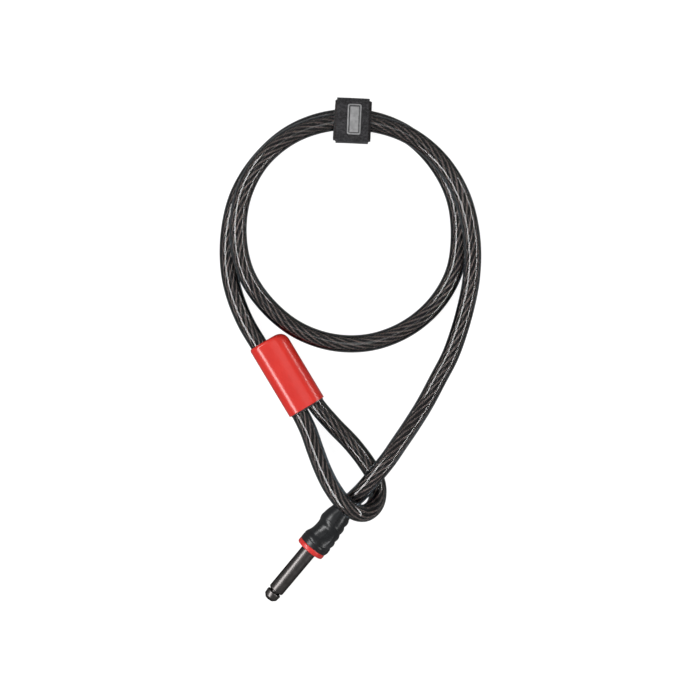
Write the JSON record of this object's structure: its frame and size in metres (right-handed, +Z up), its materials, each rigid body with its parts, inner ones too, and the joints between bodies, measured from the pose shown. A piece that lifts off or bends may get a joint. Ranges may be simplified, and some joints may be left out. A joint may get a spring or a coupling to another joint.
{
  "type": "plug-in security cable",
  "caption": "Jacketed steel wire rope with a crimped eye at one end and a grip with a grooved locking pin at the other, wound up and tied with a hook-and-loop strap",
  "frame": {"origin": "On the floor, under the middle of the whole object's box.", "axes": "+Z is up from the floor that the cable lies on. +Y runs from the locking pin towards the strap, along the longest side. +X is to the right, seen from above with the strap at the top."},
  "size_m": [0.1785, 0.3455, 0.035],
  "materials": {
    "smoky_jacket": "clear glossy PVC with a smoky grey-blue tint",
    "rope_steel": "greased wire strands, dark brown-grey",
    "crimp_metal": "pressed aluminium",
    "red_vinyl": "glossy red vinyl",
    "black_chrome": "polished black chrome on hardened steel",
    "socket_steel": "turned and swaged steel",
    "grip_plastic": "satin charcoal moulded PVC",
    "ring_plastic": "glossy light red plastic",
    "strap_fabric": "black brushed nylon loop strap",
    "hook_plastic": "moulded black hooks",
    "patch_print": "plain silver-grey rubber patch, no marks"
  },
  "bodies": {
    "cable": {"cable_jacket": "smoky_jacket", "wire_rope": "rope_steel", "crimp_sleeve": "crimp_metal", "sleeve_cover": "red_vinyl", "locking_pin": "black_chrome", "rope_socket": "socket_steel", "grip_boot": "grip_plastic", "pin_ring": "ring_plastic"},
    "strap": {"strap_band": "strap_fabric", "strap_loop_pad": "strap_fabric", "strap_sewn_end": "strap_fabric"},
    "flap": {"strap_flap": "strap_fabric", "strap_hook_pad": "hook_plastic", "flap_patch": "patch_print"}
  },
  "joints": [
    {"name": "strap_slide_round", "type": "hinge", "parent": "cable", "child": "strap", "pos_m": [0, 0.079, 0], "axis": [0, 0, 1], "range_deg": [-4, 4]},
    {"name": "flap_open", "type": "hinge", "parent": "strap", "child": "flap", "pos_m": [0.00188, 0.16874, 0.02779], "axis": [-0.9991, 0.0419, 0], "range_deg": [0, 75]}
  ]
}
